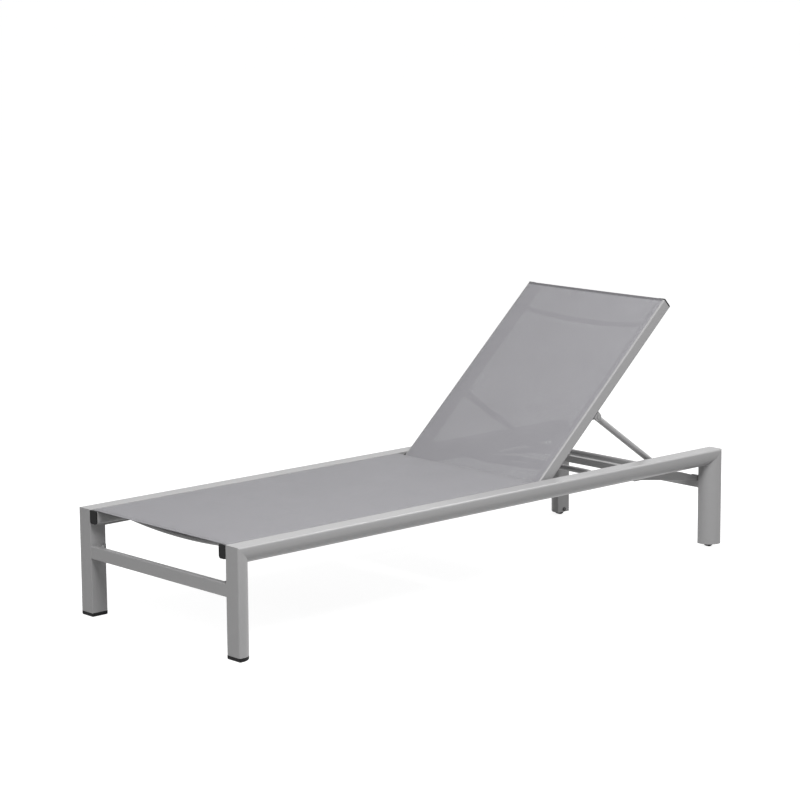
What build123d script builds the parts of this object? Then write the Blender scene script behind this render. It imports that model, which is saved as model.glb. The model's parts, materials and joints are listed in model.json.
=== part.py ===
from build123d import *
from math import asin, atan2, cos, degrees, hypot, radians, sin, sqrt
import os

# A sling sun lounger, in millimetres. X runs from the foot end to the head end, Z is up,
# the near side is -Y and the far side is +Y. The floor is Z = 0.

# Driving sizes of the whole lounger
length = 2000.0
width = 736.0
seat_height = 322.0
sides = {"near": -1, "far": 1}

# D-shaped tube of the side frames: flat face, small corner, big round lower corner
frame_width = 55.0
frame_depth = 54.0
frame_corner = 6.5
frame_curve = 41.0
frame_edge = 1.2
frame_wall = 2.5
half_length = length / 2
half_width = width / 2
inner_face = half_width - frame_width

# Fits and fasteners that many pieces share
fit_gap = 0.2
skin_gap = 0.3
running_gap = 0.05
overrun = 1.0
bolt_radius = 3.0
bolt_head_radius = 5.5
bolt_head_height = 3.3
bolt_head_edge = 1.2
bolt_grip = 12.0
cleat_plate = 4.0

# Black foot caps of the front legs
foot_height = 12.0
foot_edge = 4.5
foot_plug = 28.0

# Rollers in the open bottoms of the rear legs
roller_radius = 20.0
roller_width = 16.0
roller_edge = 2.5
roller_show = 11.0
roller_back = 24.0
roller_side = 22.0
roller_room = 1.6
roller_side_room = 0.8
roller_roof = 5.0
axle_radius = 3.5
axle_head_radius = 7.0
axle_head_height = 3.0
axle_length = 46.0

# Front stretcher, with a cleat and two bolts at each end
stretcher_setback = 1.0
stretcher_depth = 18.0
stretcher_drop = 147.0
stretcher_height = 38.0
stretcher_edge = 2.5
stretcher_wall = 2.0
cleat_reach = 33.0
cleat_tongue = 30.0
stretcher_bolt_inset = 6.0
stretcher_bottom = seat_height - stretcher_drop

# Sling extrusion, used for the seat rails and the back rails
sling_width = 30.0
sling_depth = 40.0
sling_wall = 2.0
sling_soft_edge = 5.0
sling_seat_edge = 1.5
sling_under_edge = 8.0
channel_radius = 3.3
channel_depth = 5.3
channel_floor = 10.6
channel_block = 13.0
slot_width = 2.2
seat_slot = 5.3
back_slot = 7.5
cord_radius = 2.6

# Seat
seat_cap_thickness = 5.0
seat_cap_extra = 1.5
seat_cap_plug = 22.0
seat_front_inset = 6.0
fabric_thickness = 1.2
fabric_over_slot = 1.0
seat_spreader_radius = 9.0
seat_spreader_wall = 1.8
seat_spreader_drop = 21.5
seat_spreader_sag = 18.0
seat_spreader_inset = 100.0
seat_spreader_rear_inset = 31.0
seat_rail_back_gap = 43.0

# Back: its hinge, its rails and its rest angle
back_angle = 42.0
back_low = -30.0
back_high = 750.0
back_side = 11.5
back_plug_thickness = 3.0
back_cap_thickness = 6.0
back_cap_edge = 2.0
back_cap_plug = 25.0
back_fabric_inset = 2.0
back_fabric_over_cap = 3.0
back_spreader_radius = 8.0
back_spreader_wall = 1.6
back_spreader_set = 2.0
back_spreader_bow = 28.0
back_spreader_low_inset = 102.0
back_spreader_high_inset = 88.0
hinge_x = half_length - back_high - back_cap_thickness
hinge_z = seat_height - sling_depth / 2
seat_rail_end = hinge_x - seat_rail_back_gap
first_spreader_x = -half_length + seat_spreader_inset
last_spreader_x = seat_rail_end - seat_spreader_rear_inset

# Hinge of the back: a pin in a block inside each back rail, and a spacer outside it
hinge_pin_radius = 6.0
hinge_head_radius = 9.0
hinge_head_height = 2.0
hinge_block_length = 44.0
hinge_block_width = 20.0
hinge_spacer_radius = 13.0

# Prop: two arms, a foot rod and the brackets that carry it
prop_along = 304.7
prop_behind = 32.4
rod_before_bar = 153.8
rod_above_bar = 56.8
flat_rod_above_bar = 36.0
arm_radius = 10.0
arm_wall = 2.0
arm_plug = 16.0
arm_short = 4.0
rod_radius = 10.0
rod_wall = 2.0
rod_end_gap = 7.0
rod_cap_thickness = 2.0
rod_cap_plug = 12.0
bracket_base = 2.0
bracket_cheek = 2.6
bracket_gap = 0.5
bracket_half = 12.0
prop_pin_radius = 4.0
prop_pin_head_radius = 7.0
prop_pin_head = 2.0
prop_side = inner_face - back_side - sling_width / 2

# Rear cross bar, its cleats and bolts
bar_inset = 50.0
bar_depth = 24.0
bar_drop = 129.0
bar_height = 23.0
bar_edge = 2.5
bar_wall = 2.0
rear_plate_margin = 3.0
rear_stop_length = 36.0
rear_stop_place = 10.0
rear_stop_height = 15.7
rear_bolt_back = 14.0
rear_bolt_inset = 10.0
bar_front = half_length - bar_inset
bar_bottom = seat_height - bar_drop

# Racks that catch the foot rod
rack_thickness = 8.0
rack_standoff = 6.0
rack_slope_share = 0.1447
rack_ramp_share = 0.3
rack_pocket = 4.0
rack_clearance = 0.35
rack_head_room = 6.0
rack_head_length = 88.0
rack_head_height = 19.0
rack_head_ramp = 4.0
rack_head_rise = 10.0
rack_head_gap = 1.0
rack_knee_back = 26.0
rack_corner = 6.0
rack_screw_radius = 2.6
rack_screw_head = 5.0
rack_screw_sink = 2.6
rack_screw_inset = 22.0
rack_screw_spread = 44.0
rack_screw_low = 6.0
rack_spacer_radius = 6.5
tooth_start = 5.0
tooth_top_start = 9.0
tooth_end = 16.0
rack_side = inner_face - rack_standoff - rack_thickness
rack_head_top = hinge_z - sling_depth / 2 - rack_head_gap
flat_angle = 0
ramp_angles = (26, 30, 36)
rest_angles = (42, 48, 54, 60)
steps_per_degree = 4

# Middle cross tube, cranked so that the lowered prop and back pass it
tube_radius = 9.0
tube_wall = 1.8
tube_head_gap = 1.5
tube_rack_gap = 25.8
tube_crank = 76.0
tube_crank_run = 97.0
tube_end_run = 51.0
tube_bend = 70.0
flange_half = 17.0
flange_low = 3.0
flange_rise = 30.0
flange_bolt_half = 10.0
flange_bolt_drop = 6.0
tube_z = hinge_z - sling_depth / 2 - tube_head_gap - tube_radius


# General helpers

def point_on_back(along, above):
    """Place of a point of the raised back, from its hinge."""
    turn = radians(back_angle)
    x = hinge_x + along * cos(turn) - above * sin(turn)
    z = hinge_z + along * sin(turn) + above * cos(turn)
    return x, z


def raised(shape):
    """Turns what was drawn with the back lying flat into its rest place."""
    return shape.rotate(Axis((hinge_x, 0, hinge_z), (0, -1, 0)), back_angle)


def block(x_from, x_to, y_from, y_to, z_from, z_to):
    """Box between two corners."""
    size = (abs(x_to - x_from), abs(y_to - y_from), abs(z_to - z_from))
    middle = ((x_from + x_to) / 2, (y_from + y_to) / 2, (z_from + z_to) / 2)
    return Pos(*middle) * Box(*size)


def round_y(x, z, radius, y_from, y_to):
    """Cylinder along Y."""
    middle = (y_from + y_to) / 2
    return Pos(x, middle, z) * Rot(90, 0, 0) * Cylinder(radius, abs(y_to - y_from))


def along_x(x_from, x_to, y, z, radius):
    """Cylinder along X."""
    return Pos((x_from + x_to) / 2, y, z) * Rot(0, 90, 0) * Cylinder(radius, abs(x_to - x_from))


def run(face, origin, across, depth, distance):
    """Extrudes a section both ways from its plane; across and depth are its drawing axes."""
    plane = Plane(origin=origin, x_dir=across, z_dir=Vector(*across).cross(Vector(*depth)))
    return extrude(plane * face, amount=distance / 2, both=True)


def bolt_y(x, z, seat, side, grip, radius, head_radius, head_height, head_edge):
    """Bolt along Y: its head lies inwards of the seat face and its shank runs outwards."""
    head = round_y(x, z, head_radius, seat, seat - side * head_height)
    inner_rim = head.edges().sort_by(Axis.Y)[0 if side > 0 else -1]
    head = fillet(inner_rim, head_edge)
    return head + round_y(x, z, radius, seat, seat + side * grip)


def write(name, shape):
    """Keeps one node as one STEP file."""
    export_step(shape, "parts/" + name + ".step")


# Side frames

def frame_outline(inset):
    """D-shaped outline: x runs outwards from the inner face, y runs away from the flat face."""
    corner = (frame_width - frame_corner, frame_corner)
    curve = (frame_width - frame_curve, frame_depth - frame_curve)
    outer = frame_width - inset
    under = frame_depth - inset
    lines = Line((inset, inset), (corner[0], inset))
    lines += CenterArc(corner, frame_corner - inset, -90, 90)
    lines += Line((outer, corner[1]), (outer, curve[1]))
    lines += CenterArc(curve, frame_curve - inset, 0, 90)
    lines += Line((curve[0], under), (inset, under))
    lines += Line((inset, under), (inset, inset))
    return make_face(lines)


def frame_tube_face():
    outer = frame_outline(0)
    outer = fillet(outer.vertices().group_by(Axis.X)[0], frame_edge)
    return outer - frame_outline(frame_wall)


def corner_plane(end):
    """Mitre plane of the front (-1) or rear (1) corner; its normal points to the rail."""
    return Plane(origin=(end * half_length, 0, seat_height), z_dir=(-end, 0, 1))


def pin_holes(side):
    """Holes in a side rail's inner wall for the hinge pin, the rack and the tube flange."""
    depth = side * (inner_face + frame_wall + overrun)
    start = side * (inner_face - overrun)
    holes = round_y(hinge_x, hinge_z, hinge_pin_radius + fit_gap, start, depth)
    for x, z in rack_screw_places() + flange_bolt_places():
        holes += round_y(x, z, bolt_radius + fit_gap, start, depth)
    return holes


def side_rail(side):
    rail = run(frame_tube_face(), (0, side * inner_face, seat_height), (0, side, 0), (0, 0, -1), length)
    rail = split(rail, bisect_by=corner_plane(-1), keep=Keep.TOP)
    rail = split(rail, bisect_by=corner_plane(1), keep=Keep.TOP)
    return rail - pin_holes(side)


def leg(side, end, low):
    tall = seat_height - low
    origin = (end * half_length, side * inner_face, low + tall / 2)
    tube = run(frame_tube_face(), origin, (0, side, 0), (-end, 0, 0), tall)
    return split(tube, bisect_by=corner_plane(end), keep=Keep.BOTTOM)


def front_leg(side):
    holes = Part()
    for z in stretcher_bolt_heights():
        holes += round_y(
            stretcher_bolt_x(), z, bolt_radius + fit_gap,
            side * (inner_face - overrun), side * (inner_face + frame_wall + overrun),
        )
    return leg(side, -1, foot_height) - holes


def rear_leg(side):
    start = side * (inner_face - overrun)
    depth = side * (inner_face + frame_wall + overrun)
    holes = round_y(half_length - roller_back, roller_radius, axle_radius + fit_gap, start, depth)
    for z in rear_bolt_heights():
        holes += round_y(rear_bolt_x(), z, bolt_radius + fit_gap, start, depth)
    return leg(side, 1, roller_show) - holes


def foot_cap(side):
    """Full-section pad with a rounded sole, and its plug inside the leg."""
    origin = (-half_length, side * inner_face, foot_height / 2)
    pad = run(frame_outline(0), origin, (0, side, 0), (1, 0, 0), foot_height)
    pad = fillet(pad.edges().group_by(Axis.Z)[0], foot_edge)
    plug_origin = (-half_length, side * inner_face, foot_height + foot_plug / 2)
    plug = run(frame_outline(frame_wall + fit_gap), plug_origin, (0, side, 0), (1, 0, 0), foot_plug)
    return pad + plug


# Rollers

def roller_axle_x():
    return half_length - roller_back


def roller_middle(side):
    return side * (inner_face + roller_side)


def roller(side):
    middle = roller_middle(side)
    half = roller_width / 2
    wheel = round_y(roller_axle_x(), roller_radius, roller_radius, middle - half, middle + half)
    wheel = fillet(wheel.edges().filter_by(GeomType.CIRCLE), roller_edge)
    bore = axle_radius + running_gap
    return wheel - round_y(
        roller_axle_x(), roller_radius, bore, middle - half - overrun, middle + half + overrun
    )


def roller_housing(side):
    """Insert in the leg's open end, with a slot for the roller."""
    top = 2 * roller_radius + roller_room + roller_roof
    tall = top - roller_show
    origin = (half_length, side * inner_face, roller_show + tall / 2)
    insert = run(frame_outline(frame_wall + fit_gap), origin, (0, side, 0), (-1, 0, 0), tall)
    middle = roller_middle(side)
    half = roller_width / 2 + roller_side_room
    reach = frame_depth
    slot = block(
        roller_axle_x() - reach, roller_axle_x() + reach, middle - half, middle + half,
        roller_show - overrun, 2 * roller_radius + roller_room,
    )
    bore = round_y(
        roller_axle_x(), roller_radius, axle_radius + running_gap,
        side * inner_face, side * (inner_face + frame_width),
    )
    return insert - slot - bore


def roller_axle(side):
    return bolt_y(
        roller_axle_x(), roller_radius, side * inner_face, side, axle_length,
        axle_radius, axle_head_radius, axle_head_height, bolt_head_edge,
    )


# Front stretcher

def stretcher_front():
    return -half_length + stretcher_setback


def stretcher_bolt_x():
    return stretcher_front() + stretcher_depth + (cleat_plate + cleat_reach) / 2


def stretcher_bolt_heights():
    top = stretcher_bottom + stretcher_height
    inset = stretcher_bolt_inset
    return (stretcher_bottom + inset, top - inset)


def box_tube(x_from, depth, z_from, height, half, edge, wall):
    """Rectangular tube along Y with rounded long edges."""
    outer = RectangleRounded(depth, height, edge)
    inner = RectangleRounded(depth - 2 * wall, height - 2 * wall, edge - wall)
    middle = (x_from + depth / 2, 0, z_from + height / 2)
    return run(outer - inner, middle, (1, 0, 0), (0, 0, 1), 2 * half)


def front_stretcher():
    return box_tube(
        stretcher_front(), stretcher_depth, stretcher_bottom, stretcher_height,
        inner_face, stretcher_edge, stretcher_wall,
    )


def stretcher_cleat(side):
    """Angle on the leg's inner face, with a tongue behind the stretcher."""
    back = stretcher_front() + stretcher_depth
    top = stretcher_bottom + stretcher_height
    inner = side * (inner_face - cleat_plate)
    plate = block(back, back + cleat_reach, side * inner_face, inner, stretcher_bottom, top)
    tongue = block(
        back, back + cleat_plate, side * inner_face, side * (inner_face - cleat_tongue),
        stretcher_bottom, top,
    )
    cleat = plate + tongue
    for z in stretcher_bolt_heights():
        cleat -= round_y(
            stretcher_bolt_x(), z, bolt_radius + fit_gap,
            side * (inner_face + overrun), inner - side * overrun,
        )
    return cleat


def stretcher_bolts(side):
    seat = side * (inner_face - cleat_plate)
    return [
        bolt_y(
            stretcher_bolt_x(), z, seat, side, bolt_grip,
            bolt_radius, bolt_head_radius, bolt_head_height, bolt_head_edge,
        )
        for z in stretcher_bolt_heights()
    ]


# Sling extrusion

def sling_outline(top_edge):
    """Outline of the sling rail: x runs inwards from the outer face, y runs down."""
    face = Pos(sling_width / 2, sling_depth / 2) * Rectangle(sling_width, sling_depth)
    top_outer = face.vertices().sort_by_distance((0, 0))[0]
    face = fillet(top_outer, top_edge)
    top_inner = face.vertices().sort_by_distance((sling_width, 0))[0]
    face = fillet(top_inner, sling_soft_edge)
    for x in (0, sling_width):
        under = face.vertices().sort_by_distance((x, sling_depth))[0]
        face = fillet(under, sling_under_edge)
    return face


def sling_chamber():
    """Hollow of the sling rail, stepped round the cord channel."""
    far = sling_width - sling_wall
    under = sling_depth - sling_wall
    points = [
        (sling_wall, channel_floor),
        (channel_block, channel_floor),
        (channel_block, sling_wall),
        (far, sling_wall),
        (far, under),
        (sling_wall, under),
    ]
    face = make_face(Polyline(*points, close=True))
    for x, y, radius in (
        (far, sling_wall, sling_soft_edge - sling_wall),
        (far, under, sling_under_edge - sling_wall),
        (sling_wall, under, sling_under_edge - sling_wall),
    ):
        face = fillet(face.vertices().sort_by_distance((x, y))[0], radius)
    return face


def sling_face(top_edge, slot):
    channel = Pos(slot, channel_depth) * Circle(channel_radius)
    mouth = Pos(slot, channel_depth / 2 - overrun) * Rectangle(slot_width, channel_depth + 2 * overrun)
    return sling_outline(top_edge) - sling_chamber() - channel - mouth


def seat_rail_top():
    return seat_height - fabric_thickness - skin_gap


def seat_rail_start():
    return -half_length + seat_cap_thickness


def seat_rail(side):
    distance = seat_rail_end - seat_rail_start()
    origin = (seat_rail_start() + distance / 2, side * inner_face, seat_rail_top())
    face = sling_face(sling_seat_edge, seat_slot)
    return run(face, origin, (0, -side, 0), (0, 0, -1), distance)


def rail_plug(side, face_y, top, x_face, plug_way, plate, plug_length, grow):
    """Cap on the end of a sling rail: a plate, and a plug in the hollow."""
    origin = (x_face - plug_way * plate / 2, side * face_y, top)
    outline = sling_outline(sling_seat_edge + grow)
    flange = run(outline, origin, (0, -side, 0), (0, 0, -1), plate)
    chamber = sling_chamber()
    inner = offset(chamber, amount=-fit_gap, kind=Kind.INTERSECTION)
    plug_origin = (x_face + plug_way * plug_length / 2, side * face_y, top)
    return flange + run(inner, plug_origin, (0, -side, 0), (0, 0, -1), plug_length)


def seat_plugs(side):
    front = rail_plug(
        side, inner_face, seat_rail_top(), seat_rail_start(), 1, seat_cap_thickness, seat_cap_plug,
        seat_cap_extra,
    )
    rear = rail_plug(
        side, inner_face, seat_rail_top(), seat_rail_end, -1, back_plug_thickness, seat_cap_plug,
        seat_cap_extra,
    )
    return [front, rear]


def seat_cord(side):
    y = side * (inner_face - seat_slot)
    z = seat_rail_top() - channel_depth
    return along_x(seat_rail_start() + skin_gap, seat_rail_end - skin_gap, y, z, cord_radius)


def seat_fabric():
    half = inner_face - seat_slot + fabric_over_slot
    front = -half_length + seat_front_inset
    return block(front, seat_rail_end, -half, half, seat_height - fabric_thickness, seat_height)


def bowed_tube(half, level, sag, radius, wall):
    """Tube along Y, bowed downwards in the middle, cut flush at its two ends."""
    reach = half + overrun
    edge_level = level + sag * ((reach / half) ** 2 - 1)
    path = ThreePointArc((0, -reach, edge_level), (0, 0, level - sag), (0, reach, edge_level))
    start = Plane(origin=path @ 0, z_dir=path % 0)
    tube = sweep(start * (Circle(radius) - Circle(radius - wall)), path=path)
    for side in (-1, 1):
        cut = Plane(origin=(0, side * half, 0), z_dir=(0, -side, 0))
        tube = split(tube, bisect_by=cut, keep=Keep.TOP)
    return tube


def seat_spreader(x):
    half = inner_face - sling_width
    level = seat_rail_top() - seat_spreader_drop
    return Pos(x, 0, 0) * bowed_tube(
        half, level, seat_spreader_sag, seat_spreader_radius, seat_spreader_wall
    )


# Back, drawn lying flat and then raised

def back_outer():
    return inner_face - back_side


def back_top():
    return hinge_z + sling_depth / 2


def back_rail(side):
    distance = back_high - back_low
    origin = (hinge_x + back_low + distance / 2, side * back_outer(), back_top())
    rail = run(sling_face(sling_soft_edge, back_slot), origin, (0, -side, 0), (0, 0, -1), distance)
    hole = round_y(
        hinge_x, hinge_z, hinge_pin_radius + fit_gap,
        side * (back_outer() + overrun), side * (back_outer() - sling_wall - overrun),
    )
    return raised(rail - hole)


def hinge_block(side):
    """Bearing block inside the back rail."""
    outer = side * (back_outer() - sling_wall - fit_gap)
    inner = outer - side * hinge_block_width
    low = back_top() - sling_depth + sling_wall + fit_gap
    high = back_top() - channel_floor - fit_gap
    half = hinge_block_length / 2
    body = block(hinge_x - half, hinge_x + half, outer, inner, low, high)
    low_edges = body.edges().filter_by(Axis.X).group_by(Axis.Z)[0]
    body = fillet(low_edges, sling_under_edge - sling_wall)
    bore = round_y(
        hinge_x, hinge_z, hinge_pin_radius + running_gap,
        outer + side * overrun, inner - side * overrun,
    )
    return raised(body - bore)


def hinge_pin(side):
    """Pin from the side rail's wall into the back rail, with its head inside."""
    outer = side * (inner_face + frame_wall)
    inner = side * (back_outer() - sling_wall - fit_gap - hinge_block_width - fit_gap)
    shank = round_y(hinge_x, hinge_z, hinge_pin_radius, outer, inner)
    head = round_y(hinge_x, hinge_z, hinge_head_radius, inner, inner - side * hinge_head_height)
    return shank + head


def hinge_spacer(side):
    outer = side * inner_face
    inner = side * (back_outer() + skin_gap)
    ring = round_y(hinge_x, hinge_z, hinge_spacer_radius, outer, inner)
    return ring - round_y(
        hinge_x, hinge_z, hinge_pin_radius + fit_gap, outer + side * overrun, inner - side * overrun
    )


def back_top_cap(side):
    """Flat cap with softened outer edges on the top end of a back rail."""
    x_face = hinge_x + back_high
    cap = rail_plug(
        side, back_outer(), back_top(), x_face, -1, back_cap_thickness, back_cap_plug,
        sling_soft_edge - sling_seat_edge,
    )
    rim = cap.faces().sort_by(Axis.X)[-1].edges()
    return raised(fillet(rim, back_cap_edge))


def back_lower_plug(side):
    x_face = hinge_x + back_low
    return raised(rail_plug(
        side, back_outer(), back_top(), x_face, 1, back_plug_thickness,
        -back_low - hinge_block_length / 2 - fit_gap, sling_soft_edge - sling_seat_edge,
    ))


def back_cord(side):
    y = side * (back_outer() - back_slot)
    z = back_top() - channel_depth
    return raised(along_x(hinge_x + back_low, hinge_x + back_high, y, z, cord_radius))


def back_fabric():
    half = back_outer() - back_slot + fabric_over_slot
    low = back_top() + skin_gap
    lower_end = hinge_x + back_low + back_fabric_inset
    upper_end = hinge_x + back_high + back_fabric_over_cap
    return raised(block(lower_end, upper_end, -half, half, low, low + fabric_thickness))


def back_spreader(along):
    half = back_outer() - sling_width
    tube = bowed_tube(
        half, hinge_z - back_spreader_set, back_spreader_bow, back_spreader_radius, back_spreader_wall
    )
    return raised(Pos(hinge_x + along, 0, 0) * tube)


# Prop

def prop_pivot():
    """Place of the prop's upper pivot at rest."""
    return point_on_back(prop_along, -prop_behind)


def prop_line():
    """Length of the arms between their centres, and their slopes at rest and laid flat."""
    x, z = prop_pivot()
    run_x = bar_front - rod_before_bar - x
    drop_z = z - bar_top() - rod_above_bar
    reach = hypot(run_x, drop_z)
    flat_drop = hinge_z - prop_behind - bar_top() - flat_rod_above_bar
    return reach, degrees(atan2(drop_z, run_x)), degrees(asin(flat_drop / reach))


def rod_centre(angle):
    """Place of the foot rod when the back is at this angle; arms and back turn together."""
    reach, rest_slope, flat_slope = prop_line()
    turn = radians(angle)
    x = hinge_x + prop_along * cos(turn) + prop_behind * sin(turn)
    z = hinge_z + prop_along * sin(turn) - prop_behind * cos(turn)
    slope = radians(flat_slope + (rest_slope - flat_slope) * angle / back_angle)
    return x + reach * cos(slope), z - reach * sin(slope)


def lowered(shape):
    """Turns an arm drawn level from its pivot down to its rest slope."""
    x, z = prop_pivot()
    return shape.rotate(Axis((x, 0, z), (0, -1, 0)), -prop_line()[1])


def prop_arm(side):
    """Round tube, plugged and rounded at the pivot and fitted against the foot rod."""
    x, z = prop_pivot()
    y = side * prop_side
    prop_length = prop_line()[0]
    reach = arm_radius + overrun
    tube = along_x(x - arm_radius, x + prop_length - arm_short, y, z, arm_radius)
    hollow = along_x(x + arm_plug, x + prop_length, y, z, arm_radius - arm_wall)
    outside = block(x - reach, x, y - reach, y + reach, z - reach, z + reach)
    outside -= round_y(x, z, arm_radius + fit_gap, y - reach, y + reach)
    arm = tube - hollow - outside
    arm -= round_y(x, z, prop_pin_radius + running_gap, y - reach, y + reach)
    arm -= round_y(x + prop_length, z, rod_radius, y - reach, y + reach)
    return lowered(arm)


def rod_half():
    return inner_face - rod_end_gap


def prop_rod():
    x, z = rod_centre(back_angle)
    half = rod_half() - rod_cap_thickness
    rod = round_y(x, z, rod_radius, -half, half)
    return rod - round_y(x, z, rod_radius - rod_wall, -half - overrun, half + overrun)


def rod_cap(side):
    x, z = rod_centre(back_angle)
    face = side * (rod_half() - rod_cap_thickness)
    plate = round_y(x, z, rod_radius, face, face + side * rod_cap_thickness)
    plug = round_y(x, z, rod_radius - rod_wall - fit_gap, face, face - side * rod_cap_plug)
    return plate + plug


def prop_bracket(side):
    """Channel bracket on the rear face of the back rail."""
    x = hinge_x + prop_along
    under = back_top() - sling_depth
    pin_z = hinge_z - prop_behind
    half = arm_radius + bracket_gap + bracket_cheek
    middle = side * prop_side
    base = block(
        x - bracket_half, x + bracket_half, middle - half, middle + half, under - bracket_base, under
    )
    bracket = base
    for way in (-1, 1):
        inner = middle + way * (arm_radius + bracket_gap)
        cheek = block(
            x - bracket_half, x + bracket_half, inner, inner + way * bracket_cheek, pin_z, under
        )
        ear = round_y(x, pin_z, bracket_half, inner, inner + way * bracket_cheek)
        bracket = bracket + cheek + ear
    bore = round_y(x, pin_z, prop_pin_radius + fit_gap, middle - half - overrun, middle + half + overrun)
    return raised(bracket - bore)


def prop_pin(side):
    """Headed pivot pin through the bracket and the arm's eye."""
    x = hinge_x + prop_along
    z = hinge_z - prop_behind
    half = arm_radius + bracket_gap + bracket_cheek
    middle = side * prop_side
    pin = round_y(x, z, prop_pin_radius, middle - half, middle + half)
    for way in (-1, 1):
        face = middle + way * half
        head = round_y(x, z, prop_pin_head_radius, face, face + way * prop_pin_head)
        pin = pin + head
    return raised(pin)


# Rear cross bar

def bar_top():
    return bar_bottom + bar_height


def rear_cross_bar():
    return box_tube(
        bar_front, bar_depth, bar_bottom, bar_height, inner_face - cleat_plate, bar_edge, bar_wall
    )


def rear_bolt_x():
    return half_length - rear_bolt_back


def rear_bolt_heights():
    top = bar_top() + rear_stop_height
    return (bar_bottom + rear_bolt_inset, top - rear_bolt_inset)


def rear_cleat(side):
    """Plate on the leg that carries the bar, with a stop behind the rack on the bar."""
    outer = side * inner_face
    inner = side * (inner_face - cleat_plate)
    top = bar_top() + rear_stop_height
    plate = block(
        bar_front, half_length - rear_plate_margin, outer, inner, bar_bottom, top
    )
    stop_front = bar_front + rear_stop_place
    stop = block(
        stop_front, stop_front + cleat_plate, inner, inner - side * rear_stop_length, bar_top(), top
    )
    cleat = plate + stop
    for z in rear_bolt_heights():
        cleat -= round_y(
            rear_bolt_x(), z, bolt_radius + fit_gap, outer + side * overrun, inner - side * overrun
        )
    return cleat


def rear_bolts(side):
    seat = side * (inner_face - cleat_plate)
    return [
        bolt_y(
            rear_bolt_x(), z, seat, side, bolt_grip,
            bolt_radius, bolt_head_radius, bolt_head_height, bolt_head_edge,
        )
        for z in rear_bolt_heights()
    ]


# Racks

def rack_rear():
    """The rack ends at the stop on the rear bar."""
    return bar_front + rear_stop_place


def rack_head_end():
    """The raised head ends in front of the foot rod's foremost place."""
    return rod_centre(rest_angles[-1])[0] - rod_radius - rack_head_room


def rack_front():
    return rack_head_end() - rack_head_length


def rack_knee():
    return rack_head_end() + rack_knee_back


def rack_under(x):
    """Underside of the rack: it rises from the rear bar and then runs level."""
    return bar_top() + rack_slope_share * (rack_rear() - max(x, rack_knee()))


def rod_underside(x):
    """Lowest level that the foot rod leaves free at this place, over its whole travel."""
    reach = rod_radius + rack_clearance
    lowest = rack_head_top
    for step in range(rest_angles[-1] * steps_per_degree + 1):
        rod_x, rod_z = rod_centre(step / steps_per_degree)
        away = rod_x - x
        if abs(away) < reach:
            lowest = min(lowest, rod_z - sqrt(reach * reach - away * away))
    return lowest


def ramp_level(x):
    """Straight ramp at the rear, just under the foot rod of the flat back."""
    rod_x, rod_z = rod_centre(flat_angle)
    reach = (rod_radius + rack_clearance) * sqrt(1 + rack_ramp_share * rack_ramp_share)
    return rod_z - reach - rack_ramp_share * (x - rod_x)


def rack_top_points():
    """Top edge of the rack from its rear end: the ramp, the teeth, the pockets, the head."""
    points = [(rack_rear(), ramp_level(rack_rear()))]
    for angle in ramp_angles:
        x, _ = rod_centre(angle)
        points.append((x, min(ramp_level(x), rod_underside(x))))
    for angle in rest_angles:
        rod_x, _ = rod_centre(angle)
        start = rod_x + tooth_end
        rise = rod_x + tooth_top_start
        foot = rod_x + tooth_start
        if angle != rest_angles[0]:
            points.append((start, pocket_level(start)))
        points.append((start, rod_underside(start)))
        points.append((rise, rod_underside(rise)))
        points.append((foot, pocket_level(foot)))
    points.append((rack_head_end(), points[-1][1]))
    points.append((rack_head_end() - rack_head_ramp, rack_head_top))
    return points


def rack_under_points():
    """Lower edge of the rack from the raised head back to the rear end."""
    head_under = rack_head_top - rack_head_height
    level = rack_under(rack_knee())
    return [
        (rack_front(), head_under),
        (rack_head_end() - rack_head_ramp - rack_head_rise, head_under),
        (rack_head_end() - rack_head_ramp, level),
        (rack_knee(), level),
        (rack_rear(), rack_under(rack_rear())),
    ]


def pocket_level(x):
    """Level of the rack's top edge between two teeth."""
    return rod_underside(x) - rack_pocket


def rack_screw_places():
    """Screws that hold the rack's head to the side rail."""
    first = rack_front() + rack_screw_inset
    z = rack_head_top - rack_screw_low
    return [(first, z), (first + rack_screw_spread, z)]


def rack(side):
    lower = rack_under_points()
    corners = [(rack_front(), rack_head_top), lower[0]]
    points = rack_top_points() + [corners[0]] + lower
    face = make_face(Polyline(*points, close=True))
    for corner in corners:
        face = fillet(face.vertices().sort_by_distance(corner)[0], rack_corner)
    middle = side * (rack_side + rack_thickness / 2)
    plane = Plane(origin=(0, middle, 0), x_dir=(1, 0, 0), z_dir=(0, -1, 0))
    plate = extrude(plane * face, amount=rack_thickness / 2, both=True)
    inner = side * rack_side
    outer = side * (rack_side + rack_thickness)
    for x, z in rack_screw_places():
        plate -= round_y(x, z, rack_screw_radius + fit_gap, inner - side * overrun, outer + side * overrun)
        plate -= round_y(
            x, z, rack_screw_head + fit_gap, inner - side * overrun, inner + side * rack_screw_sink
        )
    return plate


def rack_screws(side):
    inner = side * rack_side
    outer = side * (inner_face + frame_wall)
    screws = []
    for x, z in rack_screw_places():
        head = round_y(x, z, rack_screw_head, inner + side * skin_gap, inner + side * rack_screw_sink)
        shank = round_y(x, z, rack_screw_radius, inner + side * rack_screw_sink, outer)
        screws.append(head + shank)
    return screws


def rack_spacers(side):
    inner = side * (rack_side + rack_thickness)
    outer = side * inner_face
    rings = []
    for x, z in rack_screw_places():
        ring = round_y(x, z, rack_spacer_radius, inner, outer)
        hole = round_y(x, z, rack_screw_radius + fit_gap, inner - side * overrun, outer + side * overrun)
        rings.append(ring - hole)
    return rings


# Middle cross tube

def tube_end_x():
    """The tube meets the side rails in front of the racks."""
    return rack_front() - tube_rack_gap - flange_half


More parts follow.
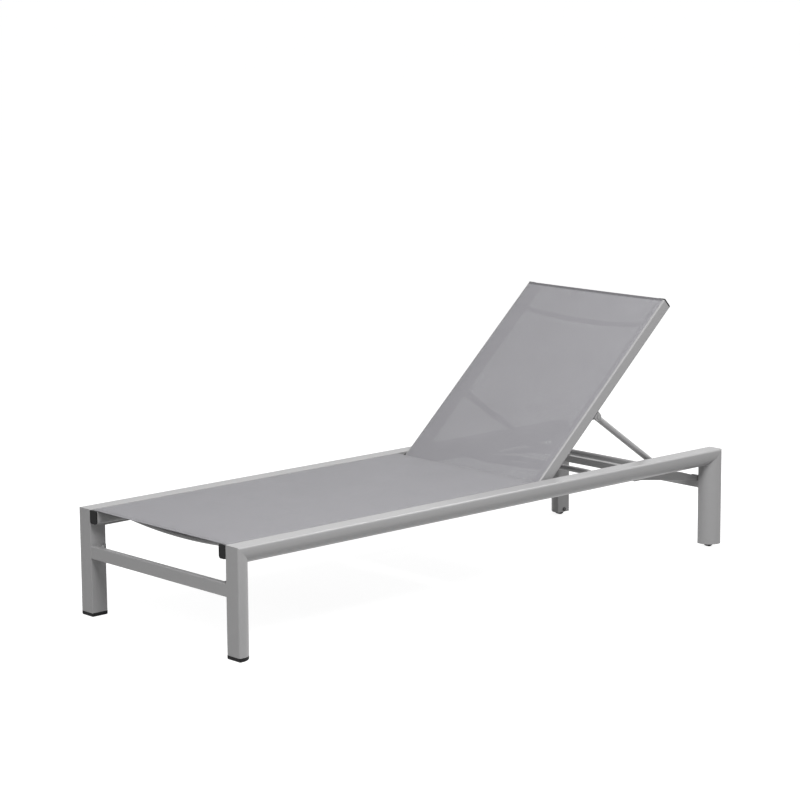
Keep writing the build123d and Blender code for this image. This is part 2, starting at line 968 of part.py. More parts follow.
def middle_cross_tube():
    """Tube along Y whose middle stands further back than its ends."""
    end_x = tube_end_x()
    middle_x = end_x + tube_crank
    half = inner_face - cleat_plate
    straight = inner_face - tube_end_run
    inner = straight - tube_crank_run
    points = [
        (end_x, -half, tube_z),
        (end_x, -straight, tube_z),
        (middle_x, -inner, tube_z),
        (middle_x, inner, tube_z),
        (end_x, straight, tube_z),
        (end_x, half, tube_z),
    ]
    path = FilletPolyline(*points, radius=tube_bend)
    start = Plane(origin=path @ 0, z_dir=path % 0)
    return sweep(start * (Circle(tube_radius) - Circle(tube_radius - tube_wall)), path=path)


def flange_bolt_places():
    z = tube_z - tube_radius + flange_rise - flange_bolt_drop
    return [(tube_end_x() - flange_bolt_half, z), (tube_end_x() + flange_bolt_half, z)]


def tube_flange(side):
    outer = side * inner_face
    inner = side * (inner_face - cleat_plate)
    low = tube_z - tube_radius + flange_low
    high = tube_z - tube_radius + flange_rise
    front = tube_end_x() - flange_half
    rear = tube_end_x() + flange_half
    plate = block(front, rear, outer, inner, low, high)
    for x, z in flange_bolt_places():
        plate -= round_y(x, z, bolt_radius + fit_gap, outer + side * overrun, inner - side * overrun)
    return plate


def flange_bolts(side):
    seat = side * (inner_face - cleat_plate)
    return [
        bolt_y(
            x, z, seat, side, bolt_grip, bolt_radius, bolt_head_radius, bolt_head_height, bolt_head_edge
        )
        for x, z in flange_bolt_places()
    ]


def both(maker):
    """Near and far copies of a small piece, as separate solids of one node."""
    found = []
    for side in sides.values():
        made = maker(side)
        found.extend(made if isinstance(made, list) else [made])
    return Compound(children=[solid for piece in found for solid in piece.solids()])


os.makedirs("parts", exist_ok=True)

# Pieces with a node on each side
for side_name, side in sides.items():
    write("side_rail_" + side_name, side_rail(side))
    write("front_leg_" + side_name, front_leg(side))
    write("rear_leg_" + side_name, rear_leg(side))
    write("front_foot_cap_" + side_name, foot_cap(side))
    write("roller_housing_" + side_name, roller_housing(side))
    write("roller_wheel_" + side_name, roller(side))
    write("seat_rail_" + side_name, seat_rail(side))
    write("rack_" + side_name, rack(side))
    write("back_rail_" + side_name, back_rail(side))
    write("prop_arm_" + side_name, prop_arm(side))

# Small pieces that share a node
write("roller_axles", both(roller_axle))
write("stretcher_cleats", both(stretcher_cleat))
write("stretcher_bolts", both(stretcher_bolts))
write("seat_rail_plugs", both(seat_plugs))
write("seat_edge_cords", both(seat_cord))
write("rear_bar_cleats", both(rear_cleat))
write("rear_bar_bolts", both(rear_bolts))
write("rack_screws", both(rack_screws))
write("rack_spacers", both(rack_spacers))
write("tube_flanges", both(tube_flange))
write("tube_flange_bolts", both(flange_bolts))
write("hinge_pins", both(hinge_pin))
write("hinge_spacers", both(hinge_spacer))
write("hinge_blocks", both(hinge_block))
write("back_top_caps", both(back_top_cap))
write("back_lower_plugs", both(back_lower_plug))
write("back_edge_cords", both(back_cord))
write("prop_brackets", both(prop_bracket))
write("prop_pivot_pins", both(prop_pin))
write("prop_rod_caps", both(rod_cap))

# Pieces that run across the lounger
write("front_stretcher", front_stretcher())
write("rear_cross_bar", rear_cross_bar())
write("middle_cross_tube", middle_cross_tube())
write("seat_spreader_front", seat_spreader(first_spreader_x))
write("seat_spreader_middle", seat_spreader((first_spreader_x + last_spreader_x) / 2))
write("seat_spreader_rear", seat_spreader(last_spreader_x))
write("seat_fabric", seat_fabric())
write("back_fabric", back_fabric())
write("back_spreader_lower", back_spreader(back_low + back_spreader_low_inset))
write("back_spreader_upper", back_spreader(back_high - back_spreader_high_inset))
write("prop_rod", prop_rod())
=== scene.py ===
import json
from math import cos, pi, radians, sin

import bmesh
import bpy
from mathutils import Matrix, Vector


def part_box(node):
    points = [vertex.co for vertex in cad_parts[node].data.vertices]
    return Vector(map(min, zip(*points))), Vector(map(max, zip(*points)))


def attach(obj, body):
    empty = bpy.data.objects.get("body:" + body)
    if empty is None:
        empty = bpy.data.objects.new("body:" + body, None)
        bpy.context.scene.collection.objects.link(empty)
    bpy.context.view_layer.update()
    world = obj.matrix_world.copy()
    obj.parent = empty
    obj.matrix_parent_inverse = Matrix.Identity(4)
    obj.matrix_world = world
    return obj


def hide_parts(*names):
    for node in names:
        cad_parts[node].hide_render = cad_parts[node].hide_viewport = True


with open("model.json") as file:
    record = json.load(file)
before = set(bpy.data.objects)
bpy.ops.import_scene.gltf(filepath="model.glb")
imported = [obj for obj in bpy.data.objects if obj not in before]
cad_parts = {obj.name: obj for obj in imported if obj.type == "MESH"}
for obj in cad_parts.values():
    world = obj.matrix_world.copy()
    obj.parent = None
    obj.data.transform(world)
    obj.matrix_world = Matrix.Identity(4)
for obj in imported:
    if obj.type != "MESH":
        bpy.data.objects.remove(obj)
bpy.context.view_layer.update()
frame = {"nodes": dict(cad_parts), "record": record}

# Sun lounger: painted tube frame, taut mesh seat and back, black caps and rollers.
# Metres, +X to the head end, +Z up, the near side is -Y.

# Camera of the photograph
PHOTO_PX = 800
FOCAL_PX = 2632.2
SENSOR_MM = 36.0
CAMERA_PLACE = (-5.362, -5.796, 1.956)
CAMERA_HEADING = radians(47.58)
CAMERA_DIP = radians(10.03)
CAMERA_ROLL = radians(-0.396)
VIEW_DEPTH = 200.0

# Sling cloths; the edge play is how far the cloth's sides stay inside its CAD solid
SEAT_THICKNESS = 0.0008
BACK_THICKNESS = 0.0001
SEAT_HEM = 0.018
BACK_HEM = 0.010
# Painted shade on the hems: how far each cloth's hems are darkened towards the hem shade colour
SEAT_PAINTED_HEM_SHADE = 0.12
BACK_PAINTED_HEM_SHADE = 1.0
HEM_GAP = 0.0011
HEM_TURN_STEPS = 5
EDGE_PLAY = 0.0004
EDGE_LIP = 0.0008
TUCK_DEPTH = 0.0025
SEAT_SAG = 0.0012
BACK_SAG = 0.0030
HEM_SAG_SHARE = 0.35
SAG_POWER = 0.35
CLOTH_ROWS = 90
CLOTH_COLUMNS = 48

# Yarns of the cloths
YARN_PITCH = 0.0016
YARN_GAP = 0.35
# The light yarn is the colour of the yarns' tops; the dark one is painted shade in the weave's hollows,
# and also the dark end of a random tone
LIGHT_YARN = (0.335, 0.330, 0.350, 1)
SHADED_DARK_YARN = (0.205, 0.202, 0.216, 1)
# Colour of the painted shade on the hems
PAINTED_HEM_SHADE_COLOUR = (0.145, 0.142, 0.152, 1)
LOW_YARN_LIFT = 0.25
PAINTED_WEAVE_SHADE_SHARE = 0.55
CLOTH_CLOUD_SCALE = 9.0
CLOTH_CLOUD_SHARE = 0.35
CLOTH_ROUGHNESS = 0.62
CLOTH_GLOSS = 0.35
CLOTH_SHEEN = 0.30
CLOTH_SHEEN_ROUGHNESS = 0.35
WEAVE_BUMP = 0.6
WEAVE_BUMP_DEPTH = 0.0004

# Hem stitches; the bow gives each ring of a stitch as shares of its length and radius
STITCH_PITCH = 0.0042
STITCH_LENGTH = 0.0028
STITCH_RADIUS = 0.00028
STITCH_CORNERS = 5
STITCH_BOW = ((-0.5, -0.6), (-0.3, 0.4), (0.3, 0.4), (0.5, -0.6))
STITCH_SAG_SHARE = 0.45
STITCH_FROM_HEM_EDGE = 0.003
STITCH_FROM_SIDE = 0.004

# Grain of paint, plastic and metal, and rubbed edges
GRAIN_DETAIL = 4.0
GRAIN_BUMP_DEPTH = 0.0002
SLOW_CLOUD_SCALE = 6.0
CLOUD_DETAIL = 3.0
SLOW_CLOUD_SHARE = 0.12
SLOW_CLOUD_ROUGHNESS = 0.10
WEAR_FROM_POINTINESS = 0.53
WEAR_FULL_POINTINESS = 0.60
WEAR_BREAK_SCALE = 60.0

# Studio; each lamp has a place, a width and length, and watts
FLOOR_SIZE = 150.0
FLOOR_ALBEDO = 0.35
FLOOR_ROUGHNESS = 0.9
FLOOR_GLOW = 0.93
WORLD_LIGHT = 0.21
LAMP_TARGET = (0.0, 0.0, 0.3)
LAMPS = {
    "key_lamp": ((-1.5, -2.3, 3.5), (2.8, 1.1), 150),
    "side_lamp": ((-3.6, -1.0, 3.0), (2.0, 2.0), 26),
    "edge_lamp": ((2.2, -0.6, 3.3), (2.5, 0.4), 60),
    "rear_lamp": ((4.2, -0.6, 2.0), (2.0, 1.5), 20),
}

# Sockets of a Mix node that mixes colours: share, first and second colour, and the result
MIX_INPUTS = (0, 6, 7)
MIX_RESULT = 2

FLOAT = "NodeSocketFloat"
COLOUR = "NodeSocketColor"
VECTOR = "NodeSocketVector"


# Shader helpers

def new_material(name):
    """A material with an empty tree but for its Principled BSDF and output."""
    material = bpy.data.materials.new(name)
    material.use_nodes = True
    return material, material.node_tree, material.node_tree.nodes["Principled BSDF"]


def new_group(name, inputs, outputs):
    """A shader node group with named float, vector or colour sockets."""
    group = bpy.data.node_groups.new(name, "ShaderNodeTree")
    for label, kind in inputs:
        group.interface.new_socket(label, in_out="INPUT", socket_type=kind)
    for label, kind in outputs:
        group.interface.new_socket(label, in_out="OUTPUT", socket_type=kind)
    entry = group.nodes.new("NodeGroupInput")
    leave = group.nodes.new("NodeGroupOutput")
    return group, entry, leave


def put_group(tree, group, **values):
    """Places a group in a material with its own values; _ stands for a space in a name."""
    node = tree.nodes.new("ShaderNodeGroup")
    node.node_tree = group
    for name, value in values.items():
        node.inputs[name.replace("_", " ")].default_value = value
    return node


def set_socket(tree, socket, value):
    """Sets a number or colour on a socket, or links another node's output to it."""
    if isinstance(value, (int, float, tuple)):
        socket.default_value = value
    else:
        tree.links.new(value, socket)


def math_node(tree, operation, first, second=None, clamp=False):
    node = tree.nodes.new("ShaderNodeMath")
    node.operation = operation
    node.use_clamp = clamp
    set_socket(tree, node.inputs[0], first)
    if second is not None:
        set_socket(tree, node.inputs[1], second)
    return node.outputs[0]


def mix_colour(tree, share, first, second):
    node = tree.nodes.new("ShaderNodeMix")
    node.data_type = "RGBA"
    for index, value in zip(MIX_INPUTS, (share, first, second)):
        set_socket(tree, node.inputs[index], value)
    return node.outputs[MIX_RESULT]


def noise_node(tree, place, scale, detail):
    node = tree.nodes.new("ShaderNodeTexNoise")
    tree.links.new(place, node.inputs["Vector"])
    set_socket(tree, node.inputs["Scale"], scale)
    node.inputs["Detail"].default_value = detail
    return node.outputs["Fac"]


def object_place(tree):
    return tree.nodes.new("ShaderNodeTexCoord").outputs["Object"]


def bump_normal(tree, shader, height, strength, depth):
    bump = tree.nodes.new("ShaderNodeBump")
    bump.inputs["Strength"].default_value = strength
    bump.inputs["Distance"].default_value = depth
    tree.links.new(height, bump.inputs["Height"])
    tree.links.new(bump.outputs["Normal"], shader.inputs["Normal"])


# Shared effects

def yarn_round(group, crossings):
    """Height of a round yarn across its own width, from 0 between yarns to 1 on top."""
    across = math_node(group, "PINGPONG", crossings, 0.5)
    return math_node(group, "SINE", math_node(group, "MULTIPLY", across, pi))


def over_or_under(group, yarn, turn):
    """The yarn at its full height where it lies on top, and lower where it passes below."""
    return math_node(group, "MULTIPLY", yarn, math_node(group, "ADD", turn, LOW_YARN_LIFT))


def painted_hem_shade_mask(group, entry, along):
    """Share of painted shade on the cloth's two hems, and 0 between them."""
    before = math_node(group, "LESS_THAN", along, entry.outputs["First hem"])
    after = math_node(group, "GREATER_THAN", along, entry.outputs["Last hem"])
    hem = math_node(group, "ADD", before, after, clamp=True)
    return math_node(group, "MULTIPLY", hem, entry.outputs["Hem shade"])


def sling_weave_group():
    """Coated yarns in a tight plain weave, from cloth coordinates in metres, with painted shade in the
    hollows between yarns and on the hems.
    """
    group, entry, leave = new_group(
        "sling_weave",
        [("Place", VECTOR), ("Yarn pitch", FLOAT), ("Light yarn", COLOUR), ("Dark yarn", COLOUR),
         ("Gap share", FLOAT), ("First hem", FLOAT), ("Last hem", FLOAT), ("Hem yarn", COLOUR),
         ("Hem shade", FLOAT)],
        [("Colour", COLOUR), ("Cover", FLOAT), ("Height", FLOAT)],
    )
    split = group.nodes.new("ShaderNodeSeparateXYZ")
    group.links.new(entry.outputs["Place"], split.inputs[0])
    along = math_node(group, "DIVIDE", split.outputs["X"], entry.outputs["Yarn pitch"])
    across = math_node(group, "DIVIDE", split.outputs["Y"], entry.outputs["Yarn pitch"])
    warp = yarn_round(group, along)
    weft = yarn_round(group, across)
    squares = math_node(group, "ADD", math_node(group, "FLOOR", along), math_node(group, "FLOOR", across))
    warp_turn = math_node(group, "PINGPONG", squares, 1.0)
    weft_turn = math_node(group, "SUBTRACT", 1.0, warp_turn)
    over_warp = over_or_under(group, warp, warp_turn)
    over_weft = over_or_under(group, weft, weft_turn)
    height = math_node(group, "MAXIMUM", over_warp, over_weft)
    cover = math_node(group, "MAXIMUM", warp, weft)
    cover = math_node(group, "GREATER_THAN", cover, entry.outputs["Gap share"])
    cloud = noise_node(group, entry.outputs["Place"], CLOTH_CLOUD_SCALE, CLOUD_DETAIL)
    tint = math_node(group, "MULTIPLY", cloud, CLOTH_CLOUD_SHARE)
    # Painted shade: lighter on the yarns' tops and darker in the hollows between them, plus a random tone
    # from the cloud
    shade = math_node(group, "MULTIPLY", height, PAINTED_WEAVE_SHADE_SHARE)
    shade = math_node(group, "ADD", shade, tint, clamp=True)
    colour = mix_colour(group, shade, entry.outputs["Dark yarn"], entry.outputs["Light yarn"])
    # Painted shade: the hems are darkened as if the turned-under hem lay in shade
    hem = painted_hem_shade_mask(group, entry, split.outputs["X"])
    colour = mix_colour(group, hem, colour, entry.outputs["Hem yarn"])
    group.links.new(colour, leave.inputs["Colour"])
    group.links.new(cover, leave.inputs["Cover"])
    group.links.new(height, leave.inputs["Height"])
    return group


def fine_grain_group():
    """Fine speckle of powder paint or moulded plastic, with slow clouds and a height."""
    group, entry, leave = new_group(
        "fine_grain",
        [("Base", COLOUR), ("Speckle", COLOUR), ("Grain size", FLOAT), ("Speckle share", FLOAT)],
        [("Colour", COLOUR), ("Roughness shift", FLOAT), ("Height", FLOAT)],
    )
    place = object_place(group)
    grain = noise_node(group, place, entry.outputs["Grain size"], GRAIN_DETAIL)
    slow = noise_node(group, place, SLOW_CLOUD_SCALE, CLOUD_DETAIL)
    speckle = math_node(group, "MULTIPLY", grain, entry.outputs["Speckle share"])
    cloud = math_node(group, "MULTIPLY", slow, SLOW_CLOUD_SHARE)
    share = math_node(group, "ADD", speckle, cloud, clamp=True)
    colour = mix_colour(group, share, entry.outputs["Base"], entry.outputs["Speckle"])
    shift = math_node(group, "MULTIPLY", slow, SLOW_CLOUD_ROUGHNESS)
    group.links.new(colour, leave.inputs["Colour"])
    group.links.new(shift, leave.inputs["Roughness shift"])
    group.links.new(grain, leave.inputs["Height"])
    return group


def edge_wear_group():
    """Share of rubbed edge, from how sharply the surface points."""
    group, entry, leave = new_group("edge_wear", [("Strength", FLOAT)], [("Wear", FLOAT)])
    geometry = group.nodes.new("ShaderNodeNewGeometry")
    ramp = group.nodes.new("ShaderNodeValToRGB")
    ramp.color_ramp.elements[0].position = WEAR_FROM_POINTINESS
    ramp.color_ramp.elements[1].position = WEAR_FULL_POINTINESS
    group.links.new(geometry.outputs["Pointiness"], ramp.inputs[0])
    broken = noise_node(group, object_place(group), WEAR_BREAK_SCALE, GRAIN_DETAIL)
    wear = math_node(group, "MULTIPLY", ramp.outputs["Color"], broken)
    wear = math_node(group, "MULTIPLY", wear, entry.outputs["Strength"], clamp=True)
    group.links.new(wear, leave.inputs["Wear"])
    return group


WEAVE = sling_weave_group()
GRAIN = fine_grain_group()
WEAR = edge_wear_group()


# Finishes

def grained_material(
    name, base, speckle, size, share, roughness, bump, metallic=0.0, gloss=0.5, worn=None, wear=0.0,
):
    """Painted, moulded or metal finish from the grain group, with rubbed edges if asked."""
    material, tree, shader = new_material(name)
    grain = put_group(tree, GRAIN, Base=base, Speckle=speckle, Grain_size=size, Speckle_share=share)
    colour = grain.outputs["Colour"]
    if worn is not None:
        rubbed = put_group(tree, WEAR, Strength=wear)
        colour = mix_colour(tree, rubbed.outputs["Wear"], colour, worn)
    tree.links.new(colour, shader.inputs["Base Color"])
    level = math_node(tree, "ADD", grain.outputs["Roughness shift"], roughness)
    tree.links.new(level, shader.inputs["Roughness"])
    shader.inputs["Metallic"].default_value = metallic
    shader.inputs["Specular IOR Level"].default_value = gloss
    bump_normal(tree, shader, grain.outputs["Height"], bump, GRAIN_BUMP_DEPTH)
    return material


def cloth_material(name, hem, length, painted_hem_shade):
    """Coated sling mesh: woven yarns with small holes between them, with painted shade on its hems."""
    material, tree, shader = new_material(name)
    place = tree.nodes.new("ShaderNodeUVMap")
    place.uv_map = "cloth_metres"
    weave = put_group(
        tree, WEAVE, Yarn_pitch=YARN_PITCH, Gap_share=YARN_GAP,
        Light_yarn=LIGHT_YARN, Dark_yarn=SHADED_DARK_YARN,
        First_hem=2 * hem, Last_hem=length - 2 * hem, Hem_yarn=PAINTED_HEM_SHADE_COLOUR, Hem_shade=painted_hem_shade,
    )
    tree.links.new(place.outputs["UV"], weave.inputs["Place"])
    tree.links.new(weave.outputs["Colour"], shader.inputs["Base Color"])
    tree.links.new(weave.outputs["Cover"], shader.inputs["Alpha"])
    shader.inputs["Roughness"].default_value = CLOTH_ROUGHNESS
    shader.inputs["Specular IOR Level"].default_value = CLOTH_GLOSS
    shader.inputs["Sheen Weight"].default_value = CLOTH_SHEEN
    shader.inputs["Sheen Roughness"].default_value = CLOTH_SHEEN_ROUGHNESS
    bump_normal(tree, shader, weave.outputs["Height"], WEAVE_BUMP, WEAVE_BUMP_DEPTH)
    return material


FRAME_PAINT = grained_material(
    "frame_paint", base=(0.325, 0.322, 0.325, 1), speckle=(0.400, 0.397, 0.400, 1),
    size=1500.0, share=0.45, roughness=0.32, bump=0.05, worn=(0.50, 0.50, 0.50, 1), wear=0.10,
)
BLACK_PLASTIC = grained_material(
    "black_plastic", base=(0.010, 0.010, 0.011, 1), speckle=(0.030, 0.030, 0.031, 1),
    size=1100.0, share=0.5, roughness=0.55, bump=0.12, gloss=0.12,
    worn=(0.06, 0.06, 0.06, 1), wear=0.10,
)
STEEL = grained_material(
    "plain_steel", base=(0.24, 0.24, 0.24, 1), speckle=(0.34, 0.34, 0.34, 1),
    size=700.0, share=0.5, roughness=0.38, bump=0.05, metallic=1.0,
)
BLACK_STEEL = grained_material(
    "black_steel", base=(0.018, 0.018, 0.019, 1), speckle=(0.05, 0.05, 0.05, 1),
    size=900.0, share=0.4, roughness=0.38, bump=0.05,
)
CORD = grained_material(
    "edge_cord", base=(0.22, 0.22, 0.225, 1), speckle=(0.30, 0.30, 0.30, 1),
    size=900.0, share=0.4, roughness=0.5, bump=0.05,
)
THREAD = grained_material(
    "hem_thread", base=(0.33, 0.325, 0.345, 1), speckle=(0.42, 0.41, 0.43, 1),
    size=2500.0, share=0.5, roughness=0.6, bump=0.2,
)

SLOT_FINISH = {
    "painted_frame": FRAME_PAINT,
    "black_plastic": BLACK_PLASTIC,
    "steel": STEEL,
    "black_steel": BLACK_STEEL,
    "grey_cord": CORD,
}


def finish_cad_nodes():
    """Gives every CAD piece the finish of its material slot, but for the two cloths."""
    slots = {row["node"]: row["material_slot"] for row in frame["record"]["subparts"]}
    for name, piece in frame["nodes"].items():
        material = SLOT_FINISH.get(slots[name])
        if material is None:
            continue
        if not piece.material_slots:
            piece.data.materials.append(material)
        for holder in piece.material_slots:
            holder.material = material


# Sling cloths

def add_piece(name, maker):
    """Turns a finished bmesh into an object of the scene."""
    mesh_data = bpy.data.meshes.new(name)
    maker.to_mesh(mesh_data)
    maker.free()
    piece = bpy.data.objects.new(name, mesh_data)
    bpy.context.collection.objects.link(piece)
    return piece


def hem_profile(start, end, hem, gap):
    """Points along the cloth, (place, height), with a turned-under hem at each end."""
    bend = gap / 2
    turns = [pi * step / HEM_TURN_STEPS for step in range(HEM_TURN_STEPS + 1)]
    points = [(start + hem, -gap)]
    for turn in turns:
        points.append((start + bend - bend * sin(turn), -bend - bend * cos(turn)))
    for row in range(1, CLOTH_ROWS):
        points.append((start + (end - start) * row / CLOTH_ROWS, 0.0))
    for turn in turns:
        points.append((end - bend + bend * sin(turn), -bend + bend * cos(turn)))
    points.append((end - hem, -gap))
    return points


def cross_profile(half):
    """Points across the cloth, (place, height): it dips into the cord slots at both sides."""
    flat = 2 * (half - EDGE_LIP)
    points = [(-half, -TUCK_DEPTH), (-half, -EDGE_LIP), (-half + EDGE_LIP, 0.0)]
    for column in range(1, CLOTH_COLUMNS):
        points.append((-half + EDGE_LIP + flat * column / CLOTH_COLUMNS, 0.0))
    points += [(half - EDGE_LIP, 0.0), (half, -EDGE_LIP), (half, -TUCK_DEPTH)]
    return points


def path_lengths(points):
    """Length of the path up to each of its points."""
    lengths = [0.0]
    for before, after in zip(points, points[1:]):
        step = Vector(before) - Vector(after)
        lengths.append(lengths[-1] + step.length)
    return lengths


def cloth_drop(run, share, sag):
    """Sag below the taut plane: most on the middle line, less at the hems, none at the sides."""
    easing = sin(pi * run) ** SAG_POWER if 0.0 < run < 1.0 else 0.0
    return sag * (1.0 - share * share) * (HEM_SAG_SHARE + (1 - HEM_SAG_SHARE) * easing)


def cloth_faces(maker, grid, long_metres, side_metres):
    """Joins the grid's points with faces, whose UVs are the cloth's own metres."""
    layer = maker.loops.layers.uv.new("cloth_metres")
    for r in range(len(long_metres) - 1):
        for c in range(len(side_metres) - 1):
            corners = ((r, c), (r + 1, c), (r + 1, c + 1), (r, c + 1))
            face = maker.faces.new([grid[i][j] for i, j in corners])
            for loop, (i, j) in zip(face.loops, corners):
                loop[layer].uv = (long_metres[i], side_metres[j])
            face.smooth = True


def sling_cloth(name, start, end, half, sag, hem, painted_hem_shade, thickness, place):
    """Taut cloth between two rails; place turns (along, across, above) into the frame."""
    long_points = hem_profile(start, end, hem, HEM_GAP)
    side_points = cross_profile(half)
    long_metres = path_lengths(long_points)
    side_metres = path_lengths(side_points)
    maker = bmesh.new()
    grid = []
    for along, low in long_points:
        run = (along - start) / (end - start)
        row = []
        for across, dip in side_points:
            drop = cloth_drop(run, across / half, sag)
            row.append(maker.verts.new(place(along, across, low + dip - drop)))
        grid.append(row)
    cloth_faces(maker, grid, long_metres, side_metres)
    bmesh.ops.recalc_face_normals(maker, faces=maker.faces)
    cloth = add_piece(name, maker)
    cloth.data.materials.append(cloth_material(name + "_weave", hem, long_metres[-1], painted_hem_shade))
    thick = cloth.modifiers.new("thickness", "SOLIDIFY")
    thick.thickness = thickness
    thick.offset = -1.0
    return cloth, (side_metres[-1], long_metres[-1])


def level_place(height):
    """Place on the level seat, whose top is at this height over the floor."""
    return lambda along, across, above: (along, across, height + above)


def tilted_place(hinge, angle, height):
    """Place on the raised back: along it from the hinge, and above the plane through the hinge."""
    def place(along, across, above):
        up = height + above
        x = hinge[0] + along * cos(angle) - up * sin(angle)
        z = hinge[1] + along * sin(angle) + up * cos(angle)
        return (x, across, z)
    return place


def stitch_rings(maker, middle, along, half, sag, place):
    """The rings of thread that one stitch is made of, bowed up from the cloth."""
    rings = []
    for share, height in STITCH_BOW:
        across = middle + share * STITCH_LENGTH
        above = -sag * STITCH_SAG_SHARE * (1 - (across / half) ** 2) + STITCH_RADIUS
        ring = []
        for corner in range(STITCH_CORNERS):
            angle = 2 * pi * corner / STITCH_CORNERS
            side = STITCH_RADIUS * cos(angle)
            up = STITCH_RADIUS * (height + sin(angle))
            ring.append(maker.verts.new(place(along + side, across, above + up)))
        rings.append(ring)
    return rings


def stitch_row(name, along, half, sag, place):
    """Row of small thread stitches across the cloth."""
    maker = bmesh.new()
    reach = half - STITCH_FROM_SIDE
    count = int(2 * reach / STITCH_PITCH)
    for index in range(count):
        middle = -reach + (index + 0.5) * 2 * reach / count
        rings = stitch_rings(maker, middle, along, half, sag, place)
        for before, after in zip(rings, rings[1:]):
            for corner in range(STITCH_CORNERS):
                following = (corner + 1) % STITCH_CORNERS
                maker.faces.new((before[corner], before[following], after[following], after[corner]))
    bmesh.ops.recalc_face_normals(maker, faces=maker.faces)
    row = add_piece(name, maker)
    row.data.materials.append(THREAD)
    return row


def make_seat_cloth():
    """Seat cloth over its CAD solid, with a row of stitches along both hems."""
    low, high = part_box("seat_fabric")
    half = high[1] - EDGE_PLAY
    place = level_place(high[2])
    cloth, flat = sling_cloth(
        "seat_mesh_sheet", low[0], high[0], half, SEAT_SAG, SEAT_HEM, SEAT_PAINTED_HEM_SHADE,
        SEAT_THICKNESS, place,
    )
    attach(cloth, "frame")
    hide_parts("seat_fabric")
    inset = SEAT_HEM - STITCH_FROM_HEM_EDGE
    for name, along in (("seat_stitch_foot", low[0] + inset), ("seat_stitch_back", high[0] - inset)):
        row = stitch_row(name, along, half, SEAT_SAG, place)
        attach(row, "frame")


def back_hinge():
    """Place of the back's hinge, and the angle of the back in the photograph."""
    joints = frame["record"]["behaviour"]["joints"]
    joint = next(entry for entry in joints if entry["name"] == "back_hinge")
    return (joint["pos_m"][0], joint["pos_m"][2]), -radians(joint["range_deg"][0])


def make_back_cloth():
    """Back cloth over its CAD solid, with a row of stitches along both hems."""
    hinge, angle = back_hinge()
    low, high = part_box("back_fabric")
    low_x, low_z = low[0] - hinge[0], low[2] - hinge[1]
    top_x, top_z = high[0] - hinge[0], high[2] - hinge[1]
    start = low_x * cos(angle) + low_z * sin(angle)
    end = top_x * cos(angle) + top_z * sin(angle)
    height = top_z * cos(angle) - top_x * sin(angle)
    half = high[1] - EDGE_PLAY
    place = tilted_place(hinge, angle, height)
    cloth, flat = sling_cloth(
        "back_mesh_sheet", start, end, half, BACK_SAG, BACK_HEM, BACK_PAINTED_HEM_SHADE,
        BACK_THICKNESS, place,
    )
    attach(cloth, "back")
    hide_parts("back_fabric")
    inset = BACK_HEM - STITCH_FROM_HEM_EDGE
    for name, along in (("back_stitch_low", start + inset), ("back_stitch_top", end - inset)):
        row = stitch_row(name, along, half, BACK_SAG, place)
        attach(row, "back")


# Studio

def seen_directly(tree):
    """1 for what the camera, a reflection or a see-through surface sees, and 0 for light."""
    paths = tree.nodes.new("ShaderNodeLightPath")
    total = 0.0
    for ray in ("Is Camera Ray", "Is Glossy Ray", "Is Transmission Ray"):
        total = math_node(tree, "ADD", total, paths.outputs[ray], clamp=True)
    return total


def choose_shader(tree, share, first, second, output):
    """Sends the first shader to the output where share is 0, and the second where it is 1."""
    chosen = tree.nodes.new("ShaderNodeMixShader")
    for socket, value in zip(chosen.inputs, (share, first, second)):
        tree.links.new(value, socket)
    tree.links.new(chosen.outputs[0], tree.nodes[output].inputs["Surface"])


def floor_material():
    """White where it is seen, pale to the light, and it keeps the shadow."""
    material, tree, shader = new_material("floor_white")
    shader.inputs["Base Color"].default_value = (FLOOR_ALBEDO, FLOOR_ALBEDO, FLOOR_ALBEDO, 1)
    shader.inputs["Roughness"].default_value = FLOOR_ROUGHNESS
    shader.inputs["Specular IOR Level"].default_value = 0.0
    glow = tree.nodes.new("ShaderNodeEmission")
    glow.inputs["Strength"].default_value = FLOOR_GLOW
    bright = tree.nodes.new("ShaderNodeAddShader")
    tree.links.new(shader.outputs[0], bright.inputs[0])
    tree.links.new(glow.outputs[0], bright.inputs[1])
    seen = seen_directly(tree)
    choose_shader(tree, seen, shader.outputs[0], bright.outputs[0], "Material Output")
    return material


def make_floor():
    """One large square under the lounger."""
    maker = bmesh.new()
    sides = ((-1, -1), (1, -1), (1, 1), (-1, 1))
    maker.faces.new([maker.verts.new((FLOOR_SIZE * x, FLOOR_SIZE * y, 0)) for x, y in sides])
    floor = add_piece("floor", maker)
    floor.data.materials.append(floor_material())


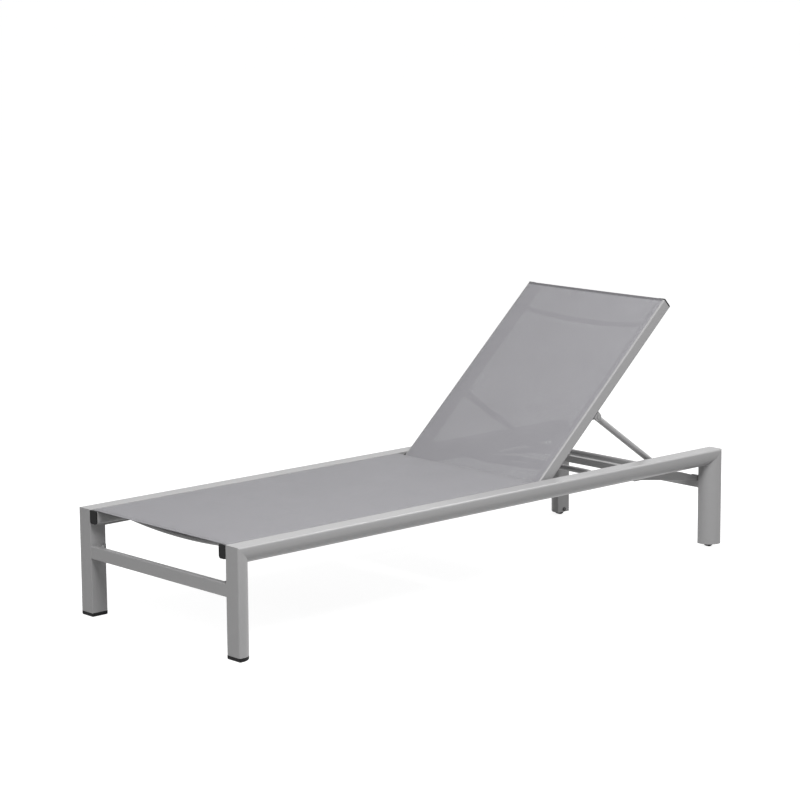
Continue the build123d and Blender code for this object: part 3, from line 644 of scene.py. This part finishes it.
def make_world():
    """Soft light from all round, and a white background."""
    world = bpy.data.worlds.new("studio")
    bpy.context.scene.world = world
    world.use_nodes = True
    tree = world.node_tree
    light = tree.nodes["Background"]
    white = tree.nodes.new("ShaderNodeBackground")
    for sky, strength in ((light, WORLD_LIGHT), (white, 1.0)):
        sky.inputs["Color"].default_value = (1, 1, 1, 1)
        sky.inputs["Strength"].default_value = strength
    seen = seen_directly(tree)
    choose_shader(tree, seen, light.outputs[0], white.outputs[0], "World Output")


def make_lamp(name, place, size, watts):
    """Soft lamp with a wide face, aimed at the middle of the lounger."""
    data = bpy.data.lights.new(name, "AREA")
    data.shape = "RECTANGLE"
    data.size, data.size_y = size
    data.energy = watts
    lamp = bpy.data.objects.new(name, data)
    bpy.context.collection.objects.link(lamp)
    lamp.location = place
    lamp.rotation_euler = (Vector(LAMP_TARGET) - Vector(place)).to_track_quat("-Z", "Y").to_euler()


def make_camera():
    """The photograph's camera, from its heading, its dip below level and its roll."""
    data = bpy.data.cameras.new("photo_camera")
    data.sensor_fit = "HORIZONTAL"
    data.sensor_width = SENSOR_MM
    data.lens = FOCAL_PX * SENSOR_MM / PHOTO_PX
    data.clip_end = VIEW_DEPTH
    camera = bpy.data.objects.new("photo_camera", data)
    bpy.context.collection.objects.link(camera)
    forward = Vector((
        cos(CAMERA_HEADING) * cos(CAMERA_DIP), sin(CAMERA_HEADING) * cos(CAMERA_DIP), -sin(CAMERA_DIP),
    ))
    level = forward.cross(Vector((0, 0, 1))).normalized()
    upright = level.cross(forward)
    right = level * cos(CAMERA_ROLL) + upright * sin(CAMERA_ROLL)
    up = right.cross(forward)
    turn = Matrix((right, up, -forward)).transposed()
    camera.matrix_world = Matrix.Translation(CAMERA_PLACE) @ turn.to_4x4()
    bpy.context.scene.camera = camera


finish_cad_nodes()
make_seat_cloth()
make_back_cloth()
make_floor()
make_world()
for lamp_name, (lamp_place, lamp_size, lamp_watts) in LAMPS.items():
    make_lamp(lamp_name, lamp_place, lamp_size, lamp_watts)
make_camera()
bpy.context.scene.view_settings.view_transform = "Standard"
